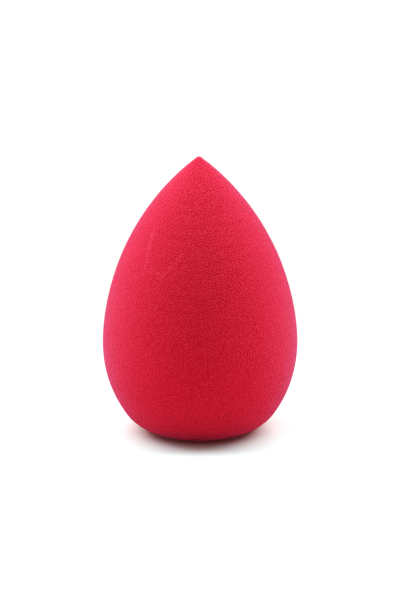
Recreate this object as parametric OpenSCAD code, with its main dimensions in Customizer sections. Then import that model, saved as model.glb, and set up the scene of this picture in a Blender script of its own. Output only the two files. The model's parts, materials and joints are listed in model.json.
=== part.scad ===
// Makeup sponge: one block of fine open-cell foam in the shape of a drop.
// It stands on a small flat, is full round the belly and draws in to a soft point.
// Millimetres, +Z up, with the origin at the centre of the flat.

/* [Body] */
// Height from the flat to the point
height = 60; // [48:1:80]
// Diameter round the belly, where the drop is widest
belly_d = 42; // [32:1:54]
// Height of the belly above the flat
belly_h = 19; // [12:1:28]
// Diameter of the flat that the sponge stands on
base_d = 16; // [8:1:26]

/* [Point] */
// Angle between the axis and the flank, where the flank runs into the point
tip_lean = 52; // [42:1:66]
// Radius of the rounded point
tip_r = 1.4; // [0.6:0.1:3]

/* [Fullness] */
// Share of its possible turn that the lower arc of the flank takes: more draws the shoulder in
shoulder_share = 0.1; // [0.05:0.05:0.9]
// Share of its possible turn that the upper arc of the underside takes: more makes the heel squarer
heel_share = 0.52; // [0.1:0.02:0.9]

/* [Hidden] */
$fn = 180;
// Turn from one point of an arc to the next
arc_step = 2;

belly_r = belly_d / 2;
base_r = base_d / 2;

// Where the flank runs into the rounded point
tip_centre_z = height - tip_r;
tip_join = [tip_r * cos(tip_lean), tip_centre_z + tip_r * sin(tip_lean)];

// Points along an arc that turns about its centre from one angle to the next, both ends included.
function arc_points(centre, radius, from, to) =
    let (steps = ceil(abs(to - from) / arc_step))
    [for (i = [0 : steps]) let (angle = from + (to - from) * i / steps)
        centre + radius * [cos(angle), sin(angle)]];

// The list without its last point, where the next stretch starts.
function all_but_last(points) = [for (i = [0 : len(points) - 2]) points[i]];

// Two arcs that leave the belly upright and turn in towards the axis, the second tangent to the first.
// Together they go `run` along the axis and `inward` across it, and turn by `turn`. A share of 0 gives
// the first arc the least turn that keeps both arcs bent the same way, and 1 gives it the most.
// The result is [radius of the first arc, radius of the second, turn of the first].
function arc_pair(run, inward, turn, share) =
    let (
        start_angle = atan2(inward, run),
        end_angle = turn - start_angle,
        first_turn = max(0, start_angle - end_angle) + 2 * share * min(start_angle, end_angle),
        spread = sin(first_turn) + sin(turn - first_turn) - sin(turn),
        first_r = (run * (cos(first_turn) - cos(turn)) - inward * (sin(turn) - sin(first_turn))) / spread,
        second_r = (inward * sin(first_turn) - run * (1 - cos(first_turn))) / spread
    )
    [first_r, second_r, first_turn];

// Points of such a pair from the belly to its far end. side is 1 above the belly and -1 below it.
function pair_points(pair, side, turn) =
    let (
        first_r = pair[0],
        second_r = pair[1],
        first_turn = side * pair[2],
        first_centre = [belly_r - first_r, belly_h],
        second_centre = first_centre + (first_r - second_r) * [cos(first_turn), sin(first_turn)]
    )
    concat(
        all_but_last(arc_points(first_centre, first_r, 0, first_turn)),
        arc_points(second_centre, second_r, first_turn, side * turn)
    );

// Below the belly: the round heel, then the tighter arc that runs out level at the edge of the flat.
heel_points = pair_points(arc_pair(belly_h, belly_r - base_r, 90, heel_share), -1, 90);
// Above the belly: the shoulder, then the long flank up to the point.
flank_pair = arc_pair(tip_join[1] - belly_h, belly_r - tip_join[0], tip_lean, shoulder_share);
flank_points = pair_points(flank_pair, 1, tip_lean);
tip_points = arc_points([0, tip_centre_z], tip_r, tip_lean, 90);

// Half of the sponge's section, from the axis out: every stretch is tangent to the next.
module drop_outline() {
    polygon(concat(
        [[0, 0]],
        [for (i = [len(heel_points) - 1 : -1 : 1]) heel_points[i]],
        all_but_last(flank_points),
        all_but_last(tip_points),
        [[0, height]]
    ));
}

module foam_body() {
    color("crimson") rotate_extrude() drop_outline();
}

foam_body();
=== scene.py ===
"""Looks of a drop-shaped makeup sponge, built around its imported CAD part.

The sponge is one block of fine open-cell foam, coloured right through. Its outline is turned from the
same arcs as the CAD part, but with a sharper point. It is then remeshed evenly and given the unevenness,
cells, larger pores and crescent scuffs of real foam as geometry. All lengths are in metres, with +Z up and
the camera on the -Y side.
"""

import json
import logging
import math
from dataclasses import dataclass
from enum import Enum

import bpy
import numpy as np
from mathutils import Matrix, Vector
from mathutils.kdtree import KDTree

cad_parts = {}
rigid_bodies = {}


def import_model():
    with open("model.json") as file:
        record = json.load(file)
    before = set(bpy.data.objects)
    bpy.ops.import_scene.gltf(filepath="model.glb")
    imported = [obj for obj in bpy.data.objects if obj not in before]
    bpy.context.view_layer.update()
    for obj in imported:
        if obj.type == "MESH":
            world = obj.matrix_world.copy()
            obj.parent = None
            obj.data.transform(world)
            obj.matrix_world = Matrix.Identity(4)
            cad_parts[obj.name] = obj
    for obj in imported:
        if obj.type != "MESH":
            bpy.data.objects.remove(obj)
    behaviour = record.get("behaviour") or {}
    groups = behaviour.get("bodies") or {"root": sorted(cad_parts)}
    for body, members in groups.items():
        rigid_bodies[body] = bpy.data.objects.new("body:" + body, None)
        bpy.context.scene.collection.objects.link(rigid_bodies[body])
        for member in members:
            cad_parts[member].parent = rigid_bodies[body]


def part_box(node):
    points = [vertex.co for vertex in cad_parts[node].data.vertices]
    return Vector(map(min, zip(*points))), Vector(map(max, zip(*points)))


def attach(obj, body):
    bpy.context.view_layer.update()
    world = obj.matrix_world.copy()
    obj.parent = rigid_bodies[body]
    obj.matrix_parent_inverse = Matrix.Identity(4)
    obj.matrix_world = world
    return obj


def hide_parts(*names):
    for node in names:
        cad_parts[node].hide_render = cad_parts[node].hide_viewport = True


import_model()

LOG = logging.getLogger("makeup_sponge")
MM = 0.001
MIDDLE = 0.5
NODE = "foam_body"
BODY = "root"
CAD_TIP_RADIUS = 1.4 * MM
QUARTER_TURN = math.pi / 2
MAP_MARGIN = 0.01

Point = tuple[float, float]
ArcPair = tuple[float, float, float]
Colour = tuple[float, float, float]

WHITE: Colour = (1.0, 1.0, 1.0)


def opaque(colour: Colour) -> tuple[float, float, float, float]:
    """Give a colour the full cover that a node's colour also holds."""
    return (*colour, 1.0)


def deselect_all() -> None:
    """Leave object mode with nothing selected, so that an operator acts on its own piece alone."""
    if bpy.context.object and bpy.context.object.mode != "OBJECT":
        bpy.ops.object.mode_set(mode="OBJECT")
    bpy.ops.object.select_all(action="DESELECT")


def apply_modifier(obj: bpy.types.Object, modifier: bpy.types.Modifier) -> None:
    """Apply one modifier to its object.

    Args:
        obj: The object, which is made active and selected.
        modifier: The modifier to apply.
    """
    deselect_all()
    obj.select_set(True)
    bpy.context.view_layer.objects.active = obj
    bpy.ops.object.modifier_apply(modifier=modifier.name)


def read_rows(items: bpy.types.bpy_prop_collection, name: str) -> np.ndarray:
    """Read three numbers from each item of a mesh.

    Args:
        items: The mesh's vertices or normals.
        name: What is read from each of them.

    Returns:
        Rows of x, y and z.
    """
    flat = np.empty(len(items) * 3, np.float32)
    items.foreach_get(name, flat)
    return flat.reshape(-1, 3).astype(float)


def read_points(mesh: bpy.types.Mesh) -> np.ndarray:
    """Give the places of a mesh's vertices as rows of x, y and z."""
    return read_rows(mesh.vertices, "co")


def read_normals(mesh: bpy.types.Mesh) -> np.ndarray:
    """Give the normals of a mesh's vertices as rows of x, y and z."""
    return read_rows(mesh.vertex_normals, "vector")


def write_points(mesh: bpy.types.Mesh, points: np.ndarray) -> None:
    """Move a mesh's vertices to the given rows of x, y and z."""
    mesh.vertices.foreach_set("co", points.astype(np.float32).ravel())
    mesh.update()


def write_attribute(mesh: bpy.types.Mesh, name: str, values: np.ndarray) -> None:
    """Keep one number for each vertex under a name that a material can read."""
    attribute = mesh.attributes.new(name, "FLOAT", "POINT")
    attribute.data.foreach_set("value", values.astype(np.float32))


def point_tree(points: np.ndarray) -> KDTree:
    """Sort points so that the nearest of them is found fast.

    Args:
        points: Rows of x, y and z.

    Returns:
        The tree, ready for searches.
    """
    tree = KDTree(len(points))
    for index, point in enumerate(points):
        tree.insert(point, index)
    tree.balance()
    return tree


def seen_ray(tree: bpy.types.NodeTree) -> bpy.types.NodeSocket:
    """Add nodes that give 1 for rays that show a surface, plainly or in a shine, and 0 for soft light.

    Args:
        tree: The node tree of a material or a world.

    Returns:
        The socket that holds the number.
    """
    path = tree.nodes.new("ShaderNodeLightPath")
    seen = path.outputs["Is Camera Ray"]
    for kind in ("Is Glossy Ray", "Is Transmission Ray"):
        either = tree.nodes.new("ShaderNodeMath")
        either.operation = "MAXIMUM"
        tree.links.new(seen, either.inputs[0])
        tree.links.new(path.outputs[kind], either.inputs[1])
        seen = either.outputs[0]
    return seen


@dataclass(frozen=True)
class DropOutline:
    """Half of the sponge's section, with each part of it tangent to the next.

    From the bottom up it is flat, base arc, heel, shoulder, flank and point.
    """

    height: float
    belly_radius: float
    belly_height: float = 19 * MM
    base_radius: float = 8 * MM
    tip_lean: float = math.radians(52)
    tip_radius: float = 0.7 * MM
    shoulder_share: float = 0.1
    heel_share: float = 0.52
    arc_step: float = math.radians(3)
    least_steps: int = 2
    start_size: float = 1 * MM
    spin_steps: int = 120
    merge_gap: float = 0.001 * MM

    @classmethod
    def around(cls, low: Vector, high: Vector) -> "DropOutline":
        """Fit the outline to the CAD sponge's box, with the same flanks but a sharper point.

        Args:
            low: The box's lowest corner.
            high: The box's highest corner.

        Returns:
            The outline, which stands as much higher as its point is sharper.
        """
        rise = (CAD_TIP_RADIUS - cls.tip_radius) * (1 / math.sin(cls.tip_lean) - 1)
        return cls(height=high.z - low.z + rise, belly_radius=(high.x - low.x) / 2)

    @staticmethod
    def arc_pair(run: float, inward: float, turn: float, share: float) -> ArcPair:
        """Work out two arcs that leave the belly upright and turn in towards the axis without a corner.

        Args:
            run: How far the pair goes along the axis.
            inward: How far it goes towards the axis.
            turn: How far it turns in all.
            share: The share of its possible turn that the first arc takes.

        Returns:
            The first radius, the second radius and the turn of the first arc.
        """
        start = math.atan2(inward, run)
        end = turn - start
        first = max(0.0, start - end) + 2 * share * min(start, end)
        spread = math.sin(first) + math.sin(turn - first) - math.sin(turn)
        rise = math.cos(first) - math.cos(turn)
        first_radius = (run * rise - inward * (math.sin(turn) - math.sin(first))) / spread
        second_radius = (inward * math.sin(first) - run * (1 - math.cos(first))) / spread
        return first_radius, second_radius, first

    def arc(self, centre: Point, radius: float, begin: float, end: float) -> list[Point]:
        """Give points along an arc, both ends included.

        Args:
            centre: The arc's centre.
            radius: Its radius.
            begin: The angle that it starts at.
            end: The angle that it ends at.

        Returns:
            Points as radius and height.
        """
        steps = max(self.least_steps, math.ceil(abs(end - begin) / self.arc_step))
        angles = [begin + (end - begin) * i / steps for i in range(steps + 1)]
        return [(centre[0] + radius * math.cos(a), centre[1] + radius * math.sin(a)) for a in angles]

    def pair(self, arcs: ArcPair, side: int, turn: float) -> list[Point]:
        """Give the points of an arc pair from the belly to its far end.

        Args:
            arcs: The pair as arc_pair gives it.
            side: 1 above the belly and -1 below it.
            turn: How far the pair turns in all.

        Returns:
            Points as radius and height.
        """
        first_radius, second_radius, first = arcs
        first_centre = (self.belly_radius - first_radius, self.belly_height)
        gap = first_radius - second_radius
        second_centre = (
            first_centre[0] + gap * math.cos(side * first),
            first_centre[1] + gap * math.sin(side * first),
        )
        near = self.arc(first_centre, first_radius, 0, side * first)
        far = self.arc(second_centre, second_radius, side * first, side * turn)
        return near[:-1] + far

    def points(self) -> list[Point]:
        """Draw the outline from the middle of the flat to the top of the point.

        Returns:
            Points as radius and height.
        """
        tip_centre = self.height - self.tip_radius
        join = (
            self.tip_radius * math.cos(self.tip_lean),
            tip_centre + self.tip_radius * math.sin(self.tip_lean),
        )
        under = self.arc_pair(
            run=self.belly_height,
            inward=self.belly_radius - self.base_radius,
            turn=QUARTER_TURN,
            share=self.heel_share,
        )
        above = self.arc_pair(
            run=join[1] - self.belly_height,
            inward=self.belly_radius - join[0],
            turn=self.tip_lean,
            share=self.shoulder_share,
        )
        heel = self.pair(under, -1, QUARTER_TURN)
        flank = self.pair(above, 1, self.tip_lean)
        tip = self.arc((0.0, tip_centre), self.tip_radius, self.tip_lean, QUARTER_TURN)
        return [(0.0, 0.0)] + heel[::-1] + flank[1:] + tip[1:-1] + [(0.0, self.height)]


@dataclass(frozen=True)
class FoamGrain:
    """The foam's relief, from the slow unevenness of a ground block down to its cells."""

    remesh_voxel: float = 0.33 * MM
    finer_levels: int = 1
    noise_depth: int = 1
    swell_size: float = 14 * MM
    swell_height: float = 0.1 * MM
    cell_gap: float = 0.49 * MM
    cell_radius: tuple[float, float] = (0.22 * MM, 0.26 * MM)
    cell_depth: tuple[float, float] = (0.09 * MM, 0.11 * MM)
    bowl_power: float = 1.5
    smooth_point: float = 1.5 * MM
    point_share: float = 0.3
    grit_size: float = 0.22 * MM
    grit_height: float = 0.04 * MM
    pore_count: int = 60
    pore_radius: tuple[float, float] = (0.2 * MM, 0.32 * MM)
    pore_depth: float = 0.07 * MM
    # How strongly the relief, and with it the painted shade in the pits, reaches the material.
    relief_gain: float = 0.25
    seed: int = 11

    def cells(self, skin: np.ndarray) -> tuple[np.ndarray, np.ndarray]:
        """Scatter the open cells over the skin, no two nearer to each other than the least gap.

        Args:
            skin: The skin's points, close together and even.

        Returns:
            The middle of each cell, and its size as a share from 0 to 1.
        """
        draw = np.random.default_rng(self.seed)
        tree = point_tree(skin)
        free = np.ones(len(skin), bool)
        chosen = []
        for index in draw.permutation(len(skin)):
            if free[index]:
                chosen.append(index)
                free[[near for _, near, _ in tree.find_range(skin[index], self.cell_gap)]] = False
        return skin[chosen], draw.random(len(chosen))


@dataclass(frozen=True)
class Scuff:
    """A pale mark that a finger nail leaves in the foam, along places on the sponge's skin.

    Azimuths are in degrees from the camera's side, positive to the right.
    """

    azimuths: tuple[float, ...]
    heights: tuple[float, ...]
    strengths: tuple[float, ...]
    width: float = 0.36 * MM
    depth: float = 0.03 * MM
    reach: float = 8 * MM
    steps: int = 60

    def press(self, points: np.ndarray, radius_at: np.ndarray) -> np.ndarray:
        """Give how hard the scuff presses on each vertex.

        Args:
            points: The vertices.
            radius_at: Rows of height and radius of the sponge, by rising height.

        Returns:
            One number from 0 to 1 for each vertex.
        """
        places = np.arange(len(self.heights))
        along = np.linspace(0, places[-1], self.steps)
        azimuth = np.interp(along, places, np.radians(self.azimuths))
        height = np.interp(along, places, self.heights)
        strength = np.interp(along, places, self.strengths)
        radius = np.interp(height, radius_at[:, 0], radius_at[:, 1])
        line = np.stack([radius * np.sin(azimuth), -radius * np.cos(azimuth), height], 1)
        near = np.flatnonzero(((points - line.mean(0)) ** 2).sum(1) < self.reach**2)
        gaps = np.sqrt(((points[near, None, :] - line[None, :, :]) ** 2).sum(2))
        closest = gaps.argmin(1)
        pressed = np.zeros(len(points))
        pressed[near] = strength[closest] * np.exp(-((gaps.min(1) / self.width) ** 2))
        return pressed


@dataclass(frozen=True)
class FoamFinish:
    """Matt hot pink-red foam: deep colour in the cells, paler pink on the walls between them. The cells'
    darker colour follows the pits of the relief, so it is partly the foam's own grain and partly painted
    shade.
    """

    wall: Colour = (0.815, 0.033, 0.072)
    # The cells' colour: the foam's own deep red, with painted shade in the pits.
    cell_and_shade: Colour = (0.665, 0.0, 0.015)
    scuffed: Colour = (0.87, 0.062, 0.125)
    wall_roughness: float = 0.86
    cell_roughness: float = 1.0
    sheen_tint: Colour = (0.25, 0.48, 1.0)
    sheen_weight: float = 0.45
    sheen_roughness: float = 0.5
    specular: float = 0.0
    fine_cells: float = 4000.0
    fine_randomness: float = 0.7
    fine_share: float = 0.5
    grit_scale: float = 4800.0
    grit_detail: float = 1.0
    grit_share: float = 0.2
    half_spread: float = 0.175
    bump_strength: float = 0.6
    bump_height: float = 0.06 * MM

    def material(self) -> bpy.types.Material:
        """Build the foam's node material.

        Returns:
            The material, which reads the piece's relief and scuff attributes.
        """
        material = bpy.data.materials.new("pink_foam")
        material.use_nodes = True
        tree = material.node_tree
        nodes, links = tree.nodes, tree.links
        shader = nodes["Principled BSDF"]
        shader.inputs["Specular IOR Level"].default_value = self.specular
        shader.inputs["Sheen Weight"].default_value = self.sheen_weight
        shader.inputs["Sheen Roughness"].default_value = self.sheen_roughness
        shader.inputs["Sheen Tint"].default_value = opaque(self.sheen_tint)

        place = nodes.new("ShaderNodeTexCoord")
        cells = nodes.new("ShaderNodeTexVoronoi")
        cells.inputs["Scale"].default_value = self.fine_cells
        cells.inputs["Randomness"].default_value = self.fine_randomness
        links.new(place.outputs["Object"], cells.inputs["Vector"])
        grit = nodes.new("ShaderNodeTexNoise")
        grit.inputs["Scale"].default_value = self.grit_scale
        grit.inputs["Detail"].default_value = self.grit_detail
        links.new(place.outputs["Object"], grit.inputs["Vector"])

        # Painted shade: where the relief sinks into a pit, the colour turns to the darker cell colour. The
        # Voronoi and the grit add random grain.
        relief = nodes.new("ShaderNodeAttribute")
        relief.attribute_name = "relief"
        level = self.blend_numbers(tree, relief.outputs["Fac"], cells.outputs["Distance"], self.fine_share)
        level = self.blend_numbers(tree, level, grit.outputs["Fac"], self.grit_share)
        spread = nodes.new("ShaderNodeMapRange")
        spread.inputs["From Min"].default_value = MIDDLE - self.half_spread
        spread.inputs["From Max"].default_value = MIDDLE + self.half_spread
        links.new(level, spread.inputs["Value"])
        tone = self.blend_colours(tree, spread.outputs["Result"], self.cell_and_shade, self.wall)

        scuff = nodes.new("ShaderNodeAttribute")
        scuff.attribute_name = "scuff"
        paler = nodes.new("ShaderNodeMath")
        paler.operation = "MULTIPLY"
        links.new(scuff.outputs["Fac"], paler.inputs[0])
        links.new(spread.outputs["Result"], paler.inputs[1])
        tone = self.blend_colours(tree, paler.outputs[0], tone, self.scuffed)
        links.new(tone, shader.inputs["Base Color"])

        rough = nodes.new("ShaderNodeMapRange")
        rough.inputs["To Min"].default_value = self.cell_roughness
        rough.inputs["To Max"].default_value = self.wall_roughness
        links.new(spread.outputs["Result"], rough.inputs["Value"])
        links.new(rough.outputs["Result"], shader.inputs["Roughness"])

        bump = nodes.new("ShaderNodeBump")
        bump.inputs["Strength"].default_value = self.bump_strength
        bump.inputs["Distance"].default_value = self.bump_height
        links.new(level, bump.inputs["Height"])
        links.new(bump.outputs["Normal"], shader.inputs["Normal"])
        return material

    @staticmethod
    def blend_numbers(
        tree: bpy.types.NodeTree,
        first: bpy.types.NodeSocket,
        second: bpy.types.NodeSocket,
        share: float,
    ) -> bpy.types.NodeSocket:
        """Mix two numbers.

        Args:
            tree: The material's node tree.
            first: The socket of the first number.
            second: The socket of the second number.
            share: The share of the second.

        Returns:
            The socket that holds the result.
        """
        mix = tree.nodes.new("ShaderNodeMix")
        mix.inputs["Factor"].default_value = share
        tree.links.new(first, mix.inputs["A"])
        tree.links.new(second, mix.inputs["B"])
        return mix.outputs["Result"]

    @staticmethod
    def blend_colours(
        tree: bpy.types.NodeTree,
        factor: bpy.types.NodeSocket,
        first: bpy.types.NodeSocket | Colour,
        second: Colour,
    ) -> bpy.types.NodeSocket:
        """Mix two colours by a factor.

        Args:
            tree: The material's node tree.
            factor: The socket that says how much of the second shows.
            first: The first colour, or a socket that holds it.
            second: The second colour.

        Returns:
            The socket that holds the result.
        """
        mix = tree.nodes.new("ShaderNodeMix")
        mix.data_type = "RGBA"
        colours = [socket for socket in mix.inputs if socket.type == "RGBA"]
        tree.links.new(factor, mix.inputs["Factor"])
        if isinstance(first, tuple):
            colours[0].default_value = opaque(first)
        else:
            tree.links.new(first, colours[0])
        colours[1].default_value = opaque(second)
        return next(socket for socket in mix.outputs if socket.type == "RGBA")


@dataclass(frozen=True)
class FoamBody:
    """The whole sponge: one block of foam, turned, remeshed and given its cells and scuffs.

    Each open pore is an azimuth in degrees from the camera's side, positive to the right, and a height.
    """

    node: str
    outline: DropOutline
    grain: FoamGrain = FoamGrain()
    finish: FoamFinish = FoamFinish()
    scuffs: tuple[Scuff, ...] = (
        Scuff(
            azimuths=(-50.0, -47.5, -46.2, -43.3, -44.4),
            heights=(47.7 * MM, 44.8 * MM, 42.5 * MM, 39.8 * MM, 36.5 * MM),
            strengths=(0.4, 1.0, 0.9, 0.5, 0.3),
        ),
        Scuff(
            azimuths=(-12.5, -16.9, -23.0, -28.0),
            heights=(43.7 * MM, 41.1 * MM, 39.3 * MM, 37.4 * MM),
            strengths=(0.3, 0.5, 0.7, 0.4),
        ),
        Scuff(azimuths=(-30.4, -31.4), heights=(38.3 * MM, 37.9 * MM), strengths=(0.9, 0.9)),
        Scuff(azimuths=(-37.6, -38.6), heights=(38.6 * MM, 38.2 * MM), strengths=(0.6, 0.6)),
    )
    open_pores: tuple[Point, ...] = (
        (-34.3, 35.6 * MM),
        (-14.5, 40.1 * MM),
        (35.3, 25.9 * MM),
        (34.6, 23.2 * MM),
        (28.2, 17.7 * MM),
    )

    @classmethod
    def around(cls, node: str) -> "FoamBody":
        """Fit the sponge to the height and width of its CAD node.

        Args:
            node: The CAD node that the piece stands for.

        Returns:
            The sponge, not yet built.
        """
        low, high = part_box(node)
        return cls(node, DropOutline.around(low, high))

    def build(self) -> bpy.types.Object:
        """Make the sponge from its outline to its finish.

        Returns:
            The finished piece, in place.
        """
        sponge = self.turn()
        self.remesh(sponge)
        self.swell(sponge)
        smooth = read_points(sponge.data)
        normals = read_normals(sponge.data)
        self.roughen(sponge, normals)
        self.mark(sponge, smooth, normals)
        self.lay_flat(sponge)
        self.map_skin(sponge)
        sponge.data.materials.clear()
        sponge.data.materials.append(self.finish.material())
        sponge.data.polygons.foreach_set("use_smooth", [True] * len(sponge.data.polygons))
        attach(sponge, BODY)
        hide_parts(self.node)
        return sponge

    def turn(self) -> bpy.types.Object:
        """Extrude the outline from one point and spin it into a closed skin.

        Returns:
            The turned object, with its place in its mesh.
        """
        outline = self.outline
        points = outline.points()
        deselect_all()
        bpy.ops.mesh.primitive_plane_add(size=outline.start_size, location=(0.0, 0.0, 0.0))
        sponge = bpy.context.object
        sponge.name = "sponge_foam"
        sponge.data.name = "sponge_foam"
        bpy.ops.object.mode_set(mode="EDIT")
        bpy.ops.mesh.select_all(action="SELECT")
        bpy.ops.mesh.merge(type="CENTER")
        for before, after in zip(points, points[1:]):
            step = (after[0] - before[0], 0.0, after[1] - before[1])
            bpy.ops.mesh.extrude_region_move(TRANSFORM_OT_translate={"value": step})
        bpy.ops.mesh.select_all(action="SELECT")
        bpy.ops.mesh.spin(
            steps=outline.spin_steps, angle=math.tau, center=(0.0, 0.0, 0.0), axis=(0.0, 0.0, 1.0)
        )
        bpy.ops.mesh.select_all(action="SELECT")
        bpy.ops.mesh.remove_doubles(threshold=outline.merge_gap)
        bpy.ops.mesh.normals_make_consistent(inside=False)
        bpy.ops.object.mode_set(mode="OBJECT")
        return sponge

    def remesh(self, sponge: bpy.types.Object) -> None:
        """Give the skin even squares all over, so that the cells are equally fine everywhere.

        Args:
            sponge: The turned object.
        """
        remesh = sponge.modifiers.new("even_skin", "REMESH")
        remesh.mode = "VOXEL"
        remesh.voxel_size = self.grain.remesh_voxel
        apply_modifier(sponge, remesh)
        finer = sponge.modifiers.new("finer", "SUBSURF")
        finer.levels = self.grain.finer_levels
        finer.render_levels = self.grain.finer_levels
        finer.use_limit_surface = False
        apply_modifier(sponge, finer)

    def displace(self, sponge: bpy.types.Object, name: str, size: float, height: float) -> None:
        """Push the skin in and out by solid noise, read at each vertex's own place.

        Args:
            sponge: The object.
            name: The noise's name.
            size: How large its lumps are.
            height: How far its white stands above its black.
        """
        noise = bpy.data.textures.new(name, "CLOUDS")
        noise.noise_scale = size
        noise.noise_depth = self.grain.noise_depth
        push = sponge.modifiers.new(name, "DISPLACE")
        push.texture = noise
        push.texture_coords = "LOCAL"
        push.strength = height
        push.mid_level = MIDDLE
        apply_modifier(sponge, push)

    def swell(self, sponge: bpy.types.Object) -> None:
        """Give the block the slow unevenness of ground foam."""
        self.displace(sponge, "swell", self.grain.swell_size, self.grain.swell_height)

    def roughen(self, sponge: bpy.types.Object, normals: np.ndarray) -> None:
        """Open the cells as round pits, with finer grit on the walls between them.

        Args:
            sponge: The object.
            normals: The skin's normals before its cells.
        """
        grain = self.grain
        points = read_points(sponge.data)
        middles, sizes = grain.cells(points)
        tree = point_tree(middles)
        nearest = np.array([tree.find(point)[1:] for point in points])
        size = sizes[nearest[:, 0].astype(int)]
        radius = grain.cell_radius[0] + size * (grain.cell_radius[1] - grain.cell_radius[0])
        depth = grain.cell_depth[0] + size * (grain.cell_depth[1] - grain.cell_depth[0])
        bowl = np.clip(1 - (nearest[:, 1] / radius) ** 2, 0, 1) ** grain.bowl_power
        from_point = np.sqrt(((points - (0.0, 0.0, self.outline.height)) ** 2).sum(1))
        depth *= np.clip(from_point / grain.smooth_point, grain.point_share, 1)
        write_points(sponge.data, points - normals * (depth * bowl)[:, None])
        self.displace(sponge, "grit", grain.grit_size, grain.grit_height)

    def mark(self, sponge: bpy.types.Object, smooth: np.ndarray, normals: np.ndarray) -> None:
        """Press in the larger pores and the scuffs, and keep the relief for the material, which paints
        shade into the pits with it.

        Args:
            sponge: The object.
            smooth: The skin's points before its cells.
            normals: The skin's normals before its cells.
        """
        points = read_points(sponge.data)
        grain = self.grain
        draw = np.random.default_rng(grain.seed)
        radius_at = np.array(self.outline.points())[1:, ::-1]
        centres = list(smooth[draw.choice(len(points), grain.pore_count, replace=False)])
        for degrees, height in self.open_pores:
            radius = np.interp(height, radius_at[:, 0], radius_at[:, 1])
            azimuth = math.radians(degrees)
            centres.append(np.array([radius * math.sin(azimuth), -radius * math.cos(azimuth), height]))
        for centre in centres:
            width = draw.uniform(*grain.pore_radius)
            gap = np.sqrt(((smooth - centre) ** 2).sum(1))
            points -= normals * (grain.pore_depth * np.exp(-((gap / width) ** 2)))[:, None]
        relief = ((points - smooth) * normals).sum(1)
        pressed = [scuff.press(smooth, radius_at) for scuff in self.scuffs]
        for scuff, press in zip(self.scuffs, pressed):
            points -= normals * (scuff.depth * press)[:, None]
        points -= normals * relief.mean()
        write_points(sponge.data, points)
        LOG.info("relief: mean %.3f mm, spread %.3f mm", relief.mean() / MM, relief.std() / MM)
        # The material darkens the pits by this relief: painted shade.
        level = (relief - relief.mean()) / relief.std()
        write_attribute(sponge.data, "relief", np.clip(MIDDLE + grain.relief_gain * level, 0, 1))
        write_attribute(sponge.data, "scuff", np.max(pressed, axis=0))

    def lay_flat(self, sponge: bpy.types.Object) -> None:
        """Let nothing of the skin reach below the surface that the sponge stands on.

        Args:
            sponge: The object.
        """
        points = read_points(sponge.data)
        points[:, 2] = np.maximum(points[:, 2], 0.0)
        write_points(sponge.data, points)

    def map_skin(self, sponge: bpy.types.Object) -> None:
        """Lay the skin out as one sheet, round the axis by along the outline, with its seam at the back.

        Args:
            sponge: The object.
        """
        mesh = sponge.data
        points = read_points(mesh)
        loops = np.empty(len(mesh.loops), np.int32)
        mesh.loops.foreach_get("vertex_index", loops)
        totals = np.empty(len(mesh.polygons), np.int32)
        mesh.polygons.foreach_get("loop_total", totals)
        starts = np.concatenate([[0], np.cumsum(totals)[:-1]])
        turn = np.arctan2(points[:, 0], -points[:, 1])[loops] / math.tau + MIDDLE
        first = np.repeat(turn[starts], totals)
        turn = turn - np.round(turn - first)
        outline = np.array(self.outline.points())
        lengths = np.concatenate([[0], np.cumsum(np.hypot(*np.diff(outline, axis=0).T))])
        belly = self.outline.belly_height
        lean = np.arctan2(outline[:, 1] - belly, outline[:, 0])
        radius = np.hypot(points[:, 0], points[:, 1])
        place = np.interp(np.arctan2(points[:, 2] - belly, radius), lean, lengths / lengths[-1])
        sheet = np.stack([turn, place[loops]], 1)
        uv = np.clip(sheet * (1 - 2 * MAP_MARGIN) + MAP_MARGIN, 0, 1)
        layer = mesh.uv_layers.new(name="OFBake")
        layer.data.foreach_set("uv", uv.astype(np.float32).ravel())


class Side(Enum):
    """The side that a lamp hangs on, in degrees from the camera's side, positive to the right."""

    FRONT = 0
    LEFT_LEVEL = -90
    LEFT = -110
    RIGHT_LEVEL = 90
    RIGHT = 110


@dataclass(frozen=True)
class Softbox:
    """A square area lamp that faces the sponge.

    Its level is how brightly it alone would light a white surface that faces it, where 1 is white.
    """

    name: str
    side: Side
    elevation: float
    level: float
    distance: float = 0.6
    size: float = 0.5

    def build(self, target: Vector) -> None:
        """Hang the lamp.

        Args:
            target: The place that it faces.
        """
        azimuth = math.radians(self.side.value)
        height = math.radians(self.elevation)
        direction = Vector(
            (math.sin(azimuth) * math.cos(height), -math.cos(azimuth) * math.cos(height), math.sin(height))
        )
        lamp = bpy.data.lights.new(self.name, "AREA")
        lamp.shape = "SQUARE"
        lamp.size = self.size
        lamp.energy = self.level * (math.pi * self.distance) ** 2
        holder = bpy.data.objects.new(lamp.name, lamp)
        bpy.context.scene.collection.objects.link(holder)
        holder.visible_camera = False
        holder.matrix_world = Matrix.Translation(target + direction * self.distance) @ (
            direction.to_track_quat("Z", "Y").to_matrix().to_4x4()
        )


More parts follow.
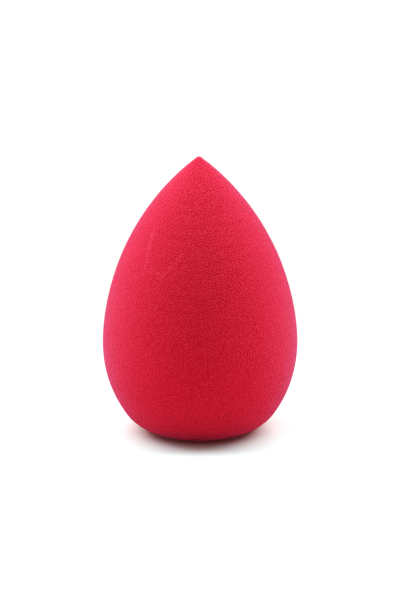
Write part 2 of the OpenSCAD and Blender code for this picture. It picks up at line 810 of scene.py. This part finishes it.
@dataclass(frozen=True)
class Floor:
    """A wide pale floor that stays white away from the sponge and keeps its shadow near it.

    It glows on both sides of the sponge as a backlit table does, and only faintly under it. The glow is
    reddish, because foam that is coloured right through passes on red light. A faint even veil lifts the
    shadow that the camera sees.
    """

    half_width: float = 2.0
    squares: int = 8
    paper: Colour = (0.61, 0.35, 0.40)
    glow: Colour = (1.0, 0.1, 0.15)
    glow_under: float = 0.05
    glow_beside: float = 0.48
    glow_begins: float = 8 * MM
    glow_full: float = 22 * MM
    seen_paper: Colour = (0.95, 1.19, 1.18)
    veil: Colour = (0.0, 0.006, 0.005)
    shadow_radius: float = 40 * MM
    white_radius: float = 80 * MM

    def build(self) -> None:
        """Lay the floor just under the sponge."""
        deselect_all()
        bpy.ops.mesh.primitive_grid_add(
            x_subdivisions=self.squares,
            y_subdivisions=self.squares,
            size=2 * self.half_width,
            location=(0.0, 0.0, 0.0),
        )
        floor = bpy.context.object
        floor.name = "studio_floor"
        floor.data.materials.append(self.material())

    def material(self) -> bpy.types.Material:
        """Build the floor's node material.

        Returns:
            The material, white with a shadow to the camera and reddish pale paper to every other ray.
        """
        material = bpy.data.materials.new("studio_paper")
        material.use_nodes = True
        tree = material.node_tree
        nodes, links = tree.nodes, tree.links
        nodes.clear()
        output = nodes.new("ShaderNodeOutputMaterial")
        paper = nodes.new("ShaderNodeBsdfDiffuse")
        paper.inputs["Color"].default_value = opaque(self.paper)
        shaded = nodes.new("ShaderNodeBsdfDiffuse")
        shaded.inputs["Color"].default_value = opaque(self.seen_paper)
        veil = nodes.new("ShaderNodeEmission")
        veil.inputs["Color"].default_value = opaque(self.veil)
        veiled = nodes.new("ShaderNodeAddShader")
        links.new(shaded.outputs[0], veiled.inputs[0])
        links.new(veil.outputs[0], veiled.inputs[1])
        white = nodes.new("ShaderNodeEmission")

        place = nodes.new("ShaderNodeTexCoord")
        reach = nodes.new("ShaderNodeVectorMath")
        reach.operation = "LENGTH"
        links.new(place.outputs["Object"], reach.inputs[0])
        away = nodes.new("ShaderNodeMapRange")
        away.interpolation_type = "SMOOTHSTEP"
        away.inputs["From Min"].default_value = self.shadow_radius
        away.inputs["From Max"].default_value = self.white_radius
        links.new(reach.outputs["Value"], away.inputs["Value"])
        seen = nodes.new("ShaderNodeMixShader")
        links.new(away.outputs["Result"], seen.inputs[0])
        links.new(veiled.outputs[0], seen.inputs[1])
        links.new(white.outputs[0], seen.inputs[2])

        across = nodes.new("ShaderNodeSeparateXYZ")
        links.new(place.outputs["Object"], across.inputs[0])
        beside = nodes.new("ShaderNodeMath")
        beside.operation = "ABSOLUTE"
        links.new(across.outputs["X"], beside.inputs[0])
        strength = nodes.new("ShaderNodeMapRange")
        strength.interpolation_type = "SMOOTHSTEP"
        strength.inputs["From Min"].default_value = self.glow_begins
        strength.inputs["From Max"].default_value = self.glow_full
        strength.inputs["To Min"].default_value = self.glow_under
        strength.inputs["To Max"].default_value = self.glow_beside
        links.new(beside.outputs[0], strength.inputs["Value"])
        glow = nodes.new("ShaderNodeEmission")
        glow.inputs["Color"].default_value = opaque(self.glow)
        links.new(strength.outputs["Result"], glow.inputs["Strength"])
        lit = nodes.new("ShaderNodeAddShader")
        links.new(paper.outputs[0], lit.inputs[0])
        links.new(glow.outputs[0], lit.inputs[1])

        choice = nodes.new("ShaderNodeMixShader")
        links.new(seen_ray(tree), choice.inputs[0])
        links.new(lit.outputs[0], choice.inputs[1])
        links.new(seen.outputs[0], choice.inputs[2])
        links.new(choice.outputs[0], output.inputs["Surface"])
        return material


@dataclass(frozen=True)
class Studio:
    """Pale floor, soft lamps above and to both sides, and an empty white surround."""

    floor: Floor = Floor()
    lamps: tuple[Softbox, ...] = (
        Softbox("softbox_top", Side.FRONT, elevation=90.0, level=0.09, size=0.4),
        Softbox("softbox_front", Side.FRONT, elevation=60.0, level=0.18, size=0.6),
        Softbox("softbox_left", Side.LEFT, elevation=50.0, level=1.23),
        Softbox("softbox_right", Side.RIGHT, elevation=50.0, level=1.15),
        Softbox("softbox_left_level", Side.LEFT_LEVEL, elevation=12.0, level=0.085),
        Softbox("softbox_right_level", Side.RIGHT_LEVEL, elevation=12.0, level=0.06),
    )

    def build(self, target: Vector) -> None:
        """Lay the floor, hang the lamps and make the surround white to the rays that show it.

        Args:
            target: The place that the lamps face.
        """
        self.floor.build()
        for lamp in self.lamps:
            lamp.build(target)
        world = bpy.data.worlds.new("studio_surround")
        world.use_nodes = True
        back = world.node_tree.nodes["Background"]
        back.inputs["Color"].default_value = opaque(WHITE)
        world.node_tree.links.new(seen_ray(world.node_tree), back.inputs["Strength"])
        bpy.context.scene.world = world


@dataclass(frozen=True)
class ProductCamera:
    """The camera of the photograph: a long lens that looks down a little, with a slight roll."""

    elevation: float = math.radians(14.0)
    distance: float = 0.6
    aim_height: float = 25 * MM
    pixels_per_metre: float = 4640.0
    aim_pixel: tuple[float, float] = (199.94, 316.8)
    roll: float = math.radians(0.37)
    frame_pixels: tuple[int, int] = (401, 601)
    sensor: float = 36.0

    def build(self) -> None:
        """Place the camera so that the aim point falls on its pixel of the frame."""
        width, height = self.frame_pixels
        focal = self.pixels_per_metre * self.distance
        data = bpy.data.cameras.new("product_camera")
        data.sensor_width = self.sensor
        data.lens = self.sensor * focal / height
        camera = bpy.data.objects.new("product_camera", data)
        bpy.context.scene.collection.objects.link(camera)
        aim = Vector((0.0, 0.0, self.aim_height))
        back = Vector((0.0, -math.cos(self.elevation), math.sin(self.elevation)))
        look = back.to_track_quat("Z", "Y").to_matrix().to_4x4()
        off_x = (self.aim_pixel[0] - width / 2) / self.pixels_per_metre
        off_y = (height / 2 - self.aim_pixel[1]) / self.pixels_per_metre
        shift = Matrix.Translation((-off_x, -off_y, 0.0))
        turned = look @ Matrix.Rotation(-self.roll, 4, "Z")
        camera.matrix_world = Matrix.Translation(aim + back * self.distance) @ turned @ shift
        bpy.context.scene.camera = camera
        bpy.context.scene.view_settings.view_transform = "Standard"


def main() -> None:
    """Build the sponge, its studio and its camera."""
    logging.basicConfig(level=logging.INFO, format="%(name)s: %(message)s")
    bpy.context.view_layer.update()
    sponge = FoamBody.around(NODE).build()
    LOG.info("foam body: %d faces", len(sponge.data.polygons))
    low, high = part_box(NODE)
    Studio().build((low + high) / 2)
    ProductCamera().build()


if __name__ == "__main__":
    main()
